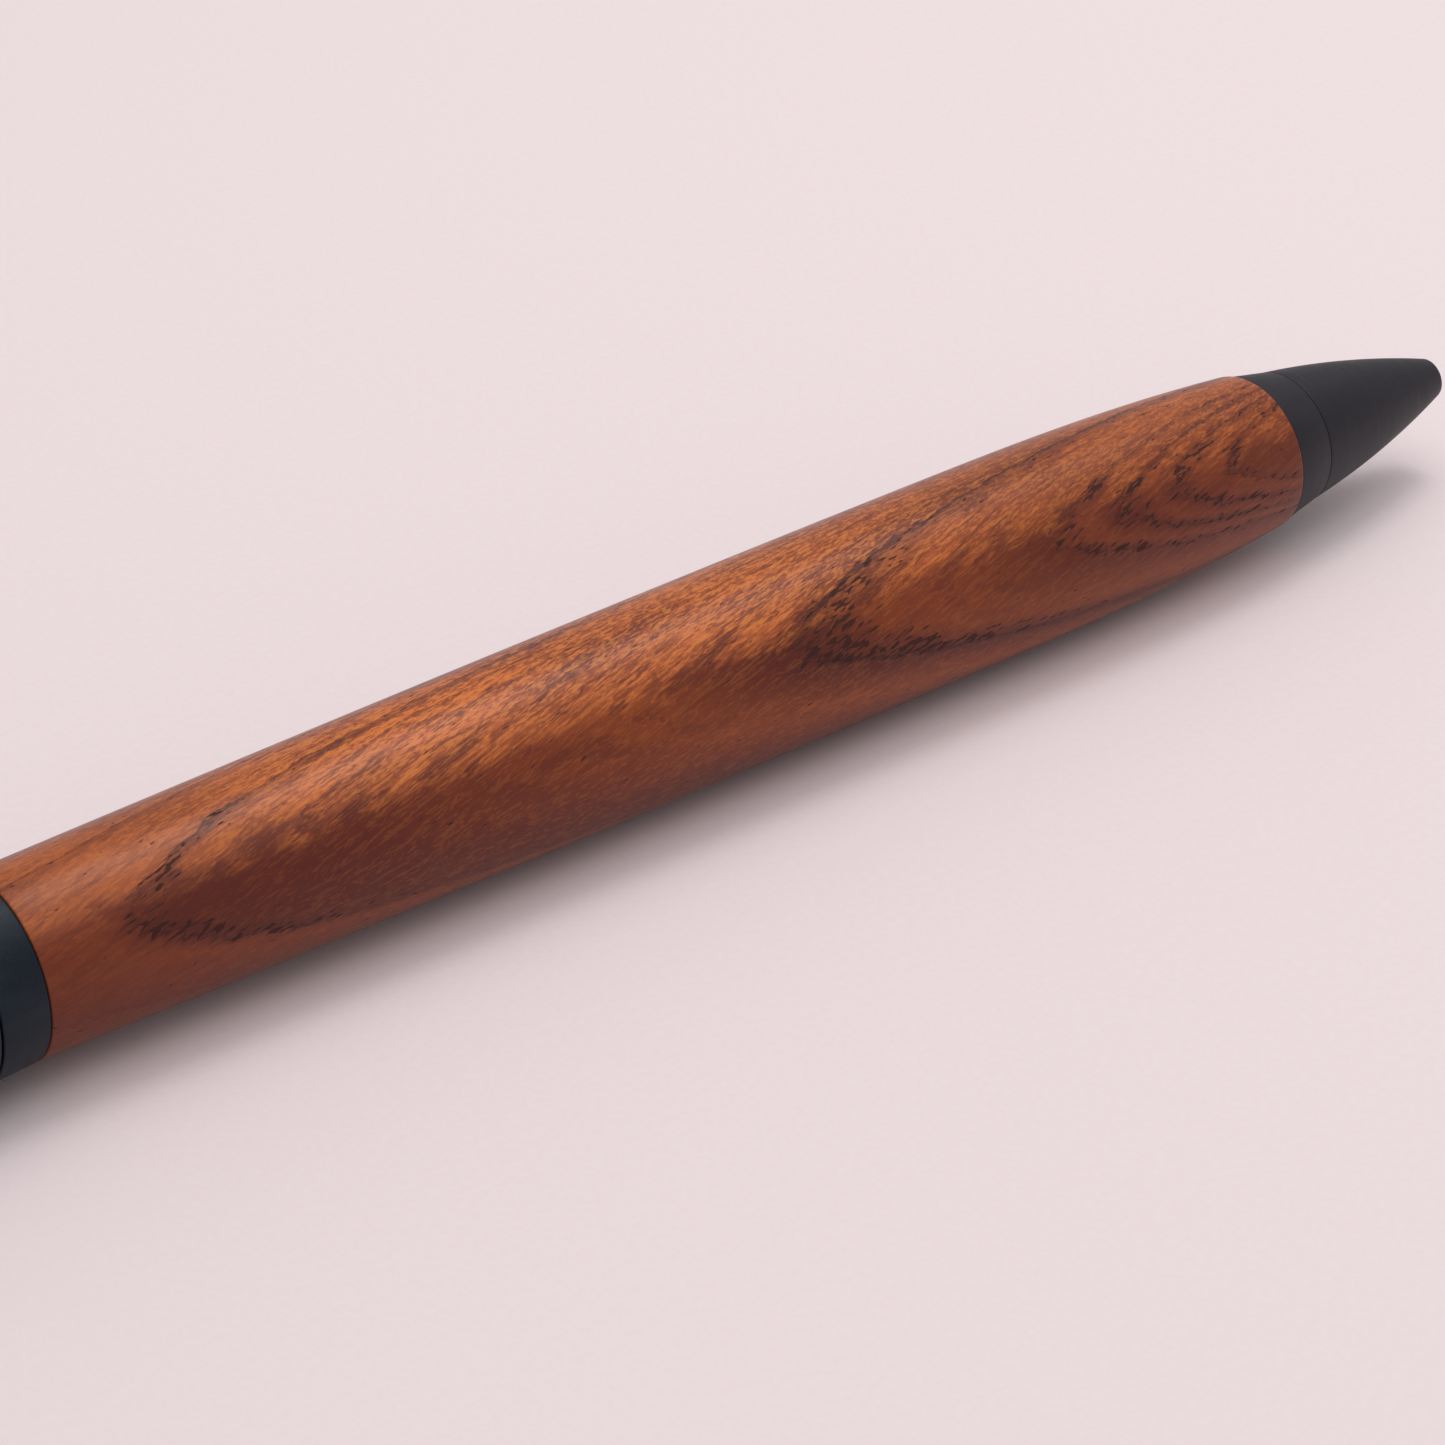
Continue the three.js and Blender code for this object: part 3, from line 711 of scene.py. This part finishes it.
def bare_metal(slot, shade, tarnish, rough, streak):
    """Drawn or turned metal: streaks along or round the piece, and a little tarnish."""
    metal = Shader(slot)
    lines = metal.noise(metal.place, streak, 3, 0.6)
    spots = metal.noise(metal.place, TARNISH_SIZE, 4, 0.6)
    tone = metal.mix(metal.span(spots, 0.45, 0.75, 0, 0.7), shade, tarnish)
    tone = metal.mix(metal.span(lines, 0.4, 0.7, 0, 0.3), tone, tarnish)
    metal.bump(lines, 0.003, 0.6)
    return metal.done(
        {
            "Base Color": tone,
            "Metallic": 1.0,
            "Roughness": metal.span(metal.total(lines, spots), 0.7, 1.3, rough - 0.07, rough + 0.1),
        }
    )


def moulded(slot, shade, stain, rough, grain, depth):
    """Plastic, rubber or ink: faint clouds of colour, and a texture whose grain and depth are millimetres."""
    body = Shader(slot)
    clouds = body.noise(body.place, STAIN_SIZE, 3)
    texture = body.noise(body.place, (grain,) * 3, 3, 0.6)
    body.bump(texture, depth, 0.5)
    return body.done(
        {
            "Base Color": body.mix(body.span(clouds, 0.4, 0.75, 0, 0.6), shade, stain),
            "Roughness": body.span(texture, 0.3, 0.7, rough - 0.06, rough + 0.08),
        }
    )


MATERIALS = {
    "turned_wood": wood_material(),
    "black_metal": coated_metal(
        "black_metal",
        colour(22, 21, 30),
        worn=colour(40, 39, 46),
        rough=0.5,
        shine=0.34,
        tint=(1, 0.98, 1, 1),
    ),
    "band_metal": coated_metal(
        "band_metal",
        colour(18, 24, 33),
        worn=colour(34, 42, 52),
        rough=0.42,
        shine=0.22,
        tint=(0.78, 0.94, 1, 1),
    ),
    "brass": bare_metal(
        "brass", colour(206, 172, 98), tarnish=colour(150, 112, 58), rough=0.32, streak=STREAKS_ROUND
    ),
    "refill_steel": bare_metal(
        "refill_steel", colour(188, 190, 193), tarnish=colour(132, 134, 138), rough=0.32, streak=STREAKS_ALONG
    ),
    "spring_steel": bare_metal(
        "spring_steel", colour(205, 207, 210), tarnish=colour(150, 152, 156), rough=0.22, streak=WIRE_STREAKS
    ),
    "carbide": bare_metal(
        "carbide", colour(140, 142, 146), tarnish=colour(96, 98, 102), rough=0.2, streak=POLISHED
    ),
    "white_plastic": moulded(
        "white_plastic",
        colour(226, 222, 210),
        stain=colour(206, 198, 180),
        rough=0.48,
        grain=0.15,
        depth=0.01,
    ),
    "black_rubber": moulded(
        "black_rubber", colour(22, 22, 23), stain=colour(34, 33, 33), rough=0.75, grain=0.06, depth=0.02
    ),
    "ink": moulded("ink", colour(8, 10, 26), stain=colour(14, 18, 44), rough=0.15, grain=0.4, depth=0.005),
}


# ---- Pieces --------------------------------------------------------------------------------------
def paint_cad_pieces():
    """Gives every CAD node the material of its slot and smooth shading."""
    for part in frame["record"]["subparts"]:
        surface = frame["nodes"][part["node"]].data
        surface.materials.clear()
        surface.materials.append(MATERIALS[part["material_slot"]])
        surface.shade_smooth()
        surface.set_sharp_from_angle(angle=SHARP_ANGLE)


def build_barrel():
    """The turned wood, bored for its liner."""
    outer = swell(
        (BARREL_FRONT, BARREL_FRONT_R),
        BARREL_WIDEST,
        (BARREL_REAR, BARREL_REAR_R),
        front_power=2.5,
        rear_power=1.8,
        steps=90,
    )
    turned("wooden_barrel", tube(outer, LINER_R, BARREL_FRONT, BARREL_REAR), "barrel", "turned_wood")


def build_nose():
    """The cone, whose outline is a parabola from the tip to its rear edge, and its screw."""
    rise = NOSE_REAR_R - NOSE_TIP_R
    bend = (rise - NOSE_REAR_SLOPE * NOSE_REAR) / NOSE_REAR**2
    slope = NOSE_REAR_SLOPE + 2 * bend * NOSE_REAR
    steps = 40
    cone = []
    for i in range(steps + 1):
        station = NOSE_REAR * i / steps
        cone.append((NOSE_TIP_R + slope * station - bend * station**2, station))
    outline = [
        (NOSE_HOLE_R, NOSE_HOLE_RIM),
        (NOSE_HOLE_R, NOSE_HOLE_LIP),
        *cone,
        (THREAD_R, NOSE_REAR),
        (THREAD_R, THREAD_REAR),
        (NOSE_BORE_R, THREAD_REAR),
        (NOSE_BORE_R, SPRING_SEAT),
        (NOSE_HOLE_R, SPRING_SEAT),
    ]
    thread = (THREAD_START, THREAD_REAR, -THREAD_DEPTH)
    turned("nose_cone", outline, "nose", "black_metal", thread, edge=FINE_EDGE)


def build_front_coupler():
    """The ring in front of the wood, with its spigot and the nut for the cone's screw."""
    ring_rear = BARREL_FRONT - GLUE_GAP
    spigot_rear = BARREL_FRONT + SPIGOT_LENGTH
    outer = [
        (COUPLER_FRONT_R, COUPLER_FRONT),
        (COUPLER_REAR_R, ring_rear),
        (SPIGOT_R, ring_rear),
        (SPIGOT_R, spigot_rear),
    ]
    outline = tube(outer, NUT_R, COUPLER_FRONT, spigot_rear)
    thread = (COUPLER_FRONT, NUT_REAR, THREAD_DEPTH)
    turned("front_coupler", outline, "barrel", "black_metal", thread, edge=FINE_EDGE)


def build_rear_coupler():
    """The band behind the wood, with its spigot, and the journal with the friction ring's groove."""
    band_front = BARREL_REAR + GLUE_GAP
    outer = [
        (SPIGOT_R, REAR_SPIGOT_FRONT),
        (SPIGOT_R, band_front),
        (BAND_FRONT_R, band_front),
        (BAND_REAR_R, BAND_REAR),
        (JOURNAL_R, BAND_REAR),
        (JOURNAL_R, GROOVE_FRONT),
        (GROOVE_R, GROOVE_FRONT),
        (GROOVE_R, GROOVE_REAR),
        (JOURNAL_R, GROOVE_REAR),
        (JOURNAL_R, JOURNAL_REAR),
    ]
    outline = tube(outer, JOURNAL_BORE_R, REAR_SPIGOT_FRONT, JOURNAL_REAR)
    turned("rear_coupler", outline, "barrel", "band_metal")


def build_upper_housing():
    """The shell behind the seam, which the hand twists."""
    outer = swell(
        (HOUSING_FRONT, BAND_REAR_R),
        HOUSING_WIDEST,
        (HOUSING_REAR, HOUSING_REAR_R),
        front_power=2,
        rear_power=2,
        steps=40,
    )
    outline = tube(outer, HOUSING_BORE_R, HOUSING_FRONT, HOUSING_REAR)
    turned("upper_housing", outline, "upper", "band_metal")


def build_clip_plate():
    """The round plate between the housing and the finial."""
    outline = tube([(PLATE_R, PLATE_FRONT), (PLATE_R, PLATE_REAR)], PLATE_HOLE_R, PLATE_FRONT, PLATE_REAR)
    turned("clip_plate", outline, "upper", "black_metal")


def build_finial():
    """The end's stud, its rim, and a dome round a flat face."""
    dome_front = FINIAL_FRONT + FINIAL_RIM
    steps = 16
    dome = []
    for i in range(steps + 1):
        angle = math.pi / 2 * i / steps
        radius = FINIAL_FACE_R + (FINIAL_R - FINIAL_FACE_R) * math.cos(angle)
        dome.append((radius, dome_front + (PEN_LENGTH - dome_front) * math.sin(angle)))
    outline = [
        (0, STUD_FRONT),
        (STUD_R, STUD_FRONT),
        (STUD_R, FINIAL_FRONT),
        (FINIAL_R, FINIAL_FRONT),
        *dome,
        (0, PEN_LENGTH),
    ]
    turned("finial", outline, "upper", "band_metal")


def clip_side():
    """The clip arm's inner and outer edges seen from the side, from its root at the plate to its tip."""
    inner = [Vector((CLIP_ROOT_R, PLATE_FRONT)), Vector((CLIP_BEND_R, PLATE_FRONT))]
    outer = [Vector((CLIP_ROOT_R, PLATE_REAR)), Vector((CLIP_BEND_R, PLATE_REAR))]
    # Each curve is a control point, an end point and the number of steps between them.
    for control, end, steps in (
        ((CLIP_INNER_R, PLATE_FRONT), (CLIP_INNER_R, 133.12), 10),
        ((CLIP_INNER_R, 122), (CLIP_INNER_R, 111), 12),
        ((CLIP_PAD_R, 109), (CLIP_PAD_R, 106), 12),
        ((CLIP_PAD_R, 104.4), (7.2, 102.5), 12),
    ):
        inner += curve(inner[-1], control, end, steps)
    for control, end, steps in (
        ((CLIP_OUTER_R, PLATE_REAR), (CLIP_OUTER_R, 133.02), 10),
        ((CLIP_OUTER_R, 122.5), (CLIP_OUTER_R, 112), 12),
        ((CLIP_PAD_R + CLIP_PAD_THICK, 106), (8.1, 102.8), 24),
    ):
        outer += curve(outer[-1], control, end, steps)
    return inner, outer


def clip_half_width(station):
    """Half the clip arm's width, which narrows towards the pad and is rounded at the tip."""
    half = CLIP_TIP_HALF + CLIP_WIDENING * (station - CLIP_WIDENS_FROM)
    to_end = station - CLIP_TIP
    if to_end < CLIP_TIP_HALF:
        half = min(half, math.sqrt(max(CLIP_TIP_HALF**2 - (CLIP_TIP_HALF - to_end) ** 2, 0.01)))
    return half


def clip_section(low, high):
    """One cross-section of the clip arm between a point of its inner edge and one of its outer edge."""
    half = clip_half_width((low.y + high.y) / 2)
    thick = (high - low).length
    edge = min(CLIP_EDGE, half * EDGE_SHARE, thick * EDGE_SHARE)
    section = []
    for side, depth in ((1, 0), (1, 1), (-1, 1), (-1, 0)):
        for k in range(EDGE_STEPS + 1):
            angle = math.pi / 2 * k / EDGE_STEPS
            across = edge * (1 - math.cos(angle))
            inwards = edge * (1 - math.sin(angle))
            if side == 1 - 2 * depth:
                across, inwards = inwards, across
            point = low.lerp(high, (depth * thick + (1 - 2 * depth) * inwards) / thick)
            place = (CLIP_OUT * point.x + CLIP_ACROSS * side * (half - across)) * MM
            section.append(Vector((NOSE_X - point.y * MM, AXIS_Y + place.y, AXIS_Z + place.z)))
    return section


def build_clip():
    """The sprung arm: a strip swept along its side view, with rounded edges and a rounded end."""
    sections = [clip_section(low, high) for low, high in zip(*clip_side())]
    vertices = [point for section in sections for point in section]
    faces = rod_faces(len(sections), len(sections[0]))
    clip = finish_mesh("clip_arm_fine", vertices, faces, "clip", "black_metal")
    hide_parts("clip_arm")


def spring_path(front, rear):
    """Points along a coil whose first and last turns are close-wound, in metres."""
    open_pitch = (rear - front - 2 * SPRING_DEAD_PITCH) / (SPRING_TURNS - 2)
    steps = 30 * SPRING_TURNS
    points = []
    for i in range(steps + 1):
        turn = SPRING_TURNS * i / steps
        open_turns = min(max(turn - 1, 0), SPRING_TURNS - 2)
        station = front + open_turns * open_pitch + (turn - open_turns) * SPRING_DEAD_PITCH
        points.append(Vector(ring_point(SPRING_COIL_R, station, 2 * math.pi * turn)))
    return points


def wire_vertices(points, radius):
    """Rows of points round a wire that follows a path round the pen's axis, in metres."""
    vertices = []
    for i, point in enumerate(points):
        along = points[min(i + 1, len(points) - 1)] - points[max(i - 1, 0)]
        along.normalize()
        out = Vector((0, point.y - AXIS_Y, point.z - AXIS_Z)).normalized()
        out = (out - along * out.dot(along)).normalized()
        side = along.cross(out)
        for k in range(WIRE_ROUND):
            angle = 2 * math.pi * k / WIRE_ROUND
            vertices.append(point + (out * math.cos(angle) + side * math.sin(angle)) * radius)
    return vertices


def build_spring():
    """The return spring, between the cone's seat and the refill's shoulder. It shortens with the refill."""
    front = SPRING_SEAT + SPRING_WIRE_R + GLUE_GAP
    rear = REFILL_SHOULDER - SPRING_WIRE_R - GLUE_GAP
    path = spring_path(front, rear)
    vertices = wire_vertices(path, SPRING_WIRE_R * MM)
    faces = rod_faces(len(path), WIRE_ROUND)
    spring = finish_mesh("return_spring_fine", vertices, faces, "spring", "spring_steel")
    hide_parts("return_spring")
    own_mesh(spring)


def build_refill_tube():
    """The cartridge's neck, sloping shoulder and tube."""
    outer = [
        (REFILL_NECK_R, REFILL_TIP_REAR),
        (REFILL_NECK_R, REFILL_SHOULDER),
        (REFILL_R - 0.3, REFILL_SHOULDER + 0.6),
        (REFILL_R, REFILL_SHOULDER + 1.4),
        (REFILL_R, REFILL_TUBE_REAR),
    ]
    outline = tube(outer, REFILL_BORE_R, REFILL_TIP_REAR, REFILL_TUBE_REAR)
    turned("refill_tube", outline, "refill", "refill_steel", segments=REFILL_ROUND)


def build_refill_tip():
    """The brass point: the lip round the ball, a taper, and a stem pressed into the tube."""
    collar_rear = REFILL_TIP_REAR - GLUE_GAP
    stem_rear = REFILL_TIP_REAR + TIP_STEM_LENGTH
    outer = [
        (BALL_R, BALL_STATION - 0.25),
        (TIP_LIP_R, BALL_STATION - 0.17),
        (TIP_R, REFILL_FRONT + 2.9),
        (TIP_R, collar_rear),
        (TIP_STEM_R, collar_rear),
        (TIP_STEM_R, stem_rear),
    ]
    outline = tube(outer, INK_CHANNEL_R, BALL_STATION - 0.1, stem_rear)
    turned("refill_tip", outline, "refill", "brass", segments=REFILL_ROUND)


def build_writing_ball():
    """A ball, as a half circle turned about the axis."""
    steps = 24
    outline = [(0, BALL_STATION - BALL_R)]
    for i in range(1, steps):
        angle = math.pi * i / steps
        outline.append((BALL_R * math.sin(angle), BALL_STATION - BALL_R * math.cos(angle)))
    outline.append((0, BALL_STATION + BALL_R))
    turned("writing_ball", outline, "ball", "carbide", segments=BALL_ROUND)


# ---- Floor, light and camera ---------------------------------------------------------------------
FLOOR_SIZE = 6  # metres
PAPER_FIBRES = (0.5, 0.5, 0.5)
HEADING = math.radians(-39.37)  # the camera's right-hand side, turned from +X
PITCH = math.radians(30.93)  # how far the camera looks down
FOCAL_LENGTH = 112.11
# From the camera to the barrel's rear end, in millimetres: to the right, down and forwards.
REAR_SEEN_AT = Vector((-37.895, 12.908, 235.548))


def build_floor():
    """A sheet of pale paper."""
    bpy.ops.mesh.primitive_plane_add(size=FLOOR_SIZE)
    floor = bpy.context.object
    floor.name = "floor"
    paper = Shader("floor_paper")
    fibres = paper.noise(paper.place, PAPER_FIBRES, 4, 0.6)
    tone = paper.mix(paper.span(fibres, 0.35, 0.65), colour(240, 227, 229), colour(241, 229, 230))
    floor.data.materials.append(paper.done({"Base Color": tone, "Roughness": 0.9, "Specular IOR Level": 0.2}))


def build_light(name, place, target, size, power, tint):
    """A rectangular soft light. Places and sizes are in metres and power is in watts."""
    data = bpy.data.lights.new(name, "AREA")
    data.shape = "RECTANGLE"
    data.size, data.size_y = size
    data.energy = power
    data.color = tint
    light = bpy.data.objects.new(name, data)
    bpy.context.scene.collection.objects.link(light)
    light.location = place
    light.rotation_euler = (Vector(target) - Vector(place)).to_track_quat("-Z", "Y").to_euler()


def build_lights():
    build_light(
        "overhead",
        place=(0.1, -0.03, 0.6),
        target=(0, 0, 0),
        size=(0.8, 0.7),
        power=1.7,
        tint=(1, 0.965, 0.97),
    )
    build_light(
        "window",
        place=(0.2, 0.075, 0.45),
        target=(-0.025, 0, 0),
        size=(0.14, 0.14),
        power=0.36,
        tint=(1, 0.98, 0.98),
    )


def build_world():
    """Even, faintly pink light from all round."""
    world = bpy.data.worlds.new("studio")
    bpy.context.scene.world = world
    world.use_nodes = True
    sky = world.node_tree.nodes["Background"]
    sky.inputs["Color"].default_value = (1, 0.965, 0.975, 1)
    sky.inputs["Strength"].default_value = 0.52


def build_camera():
    """Stands the camera where it sees the barrel's rear end at REAR_SEEN_AT."""
    right = Vector((math.cos(HEADING), math.sin(HEADING), 0))
    level = Vector((-right.y, right.x, 0))
    up = Vector((0, 0, 1))
    forward = level * math.cos(PITCH) - up * math.sin(PITCH)
    down = forward.cross(right)
    rear = Vector((NOSE_X - BARREL_REAR * MM, AXIS_Y, AXIS_Z))
    data = bpy.data.cameras.new("camera")
    data.lens = FOCAL_LENGTH
    data.clip_start = 0.01
    data.clip_end = 20
    camera = bpy.data.objects.new("camera", data)
    bpy.context.scene.collection.objects.link(camera)
    camera.location = rear - (right * REAR_SEEN_AT.x + down * REAR_SEEN_AT.y + forward * REAR_SEEN_AT.z) * MM
    camera.rotation_euler = forward.to_track_quat("-Z", "Y").to_euler()
    bpy.context.scene.camera = camera


paint_cad_pieces()
build_barrel()
build_nose()
build_front_coupler()
build_rear_coupler()
build_upper_housing()
build_clip_plate()
build_finial()
build_clip()
build_spring()
build_refill_tube()
build_refill_tip()
build_writing_ball()

build_floor()
build_lights()
build_world()
build_camera()
bpy.context.scene.view_settings.view_transform = "Standard"
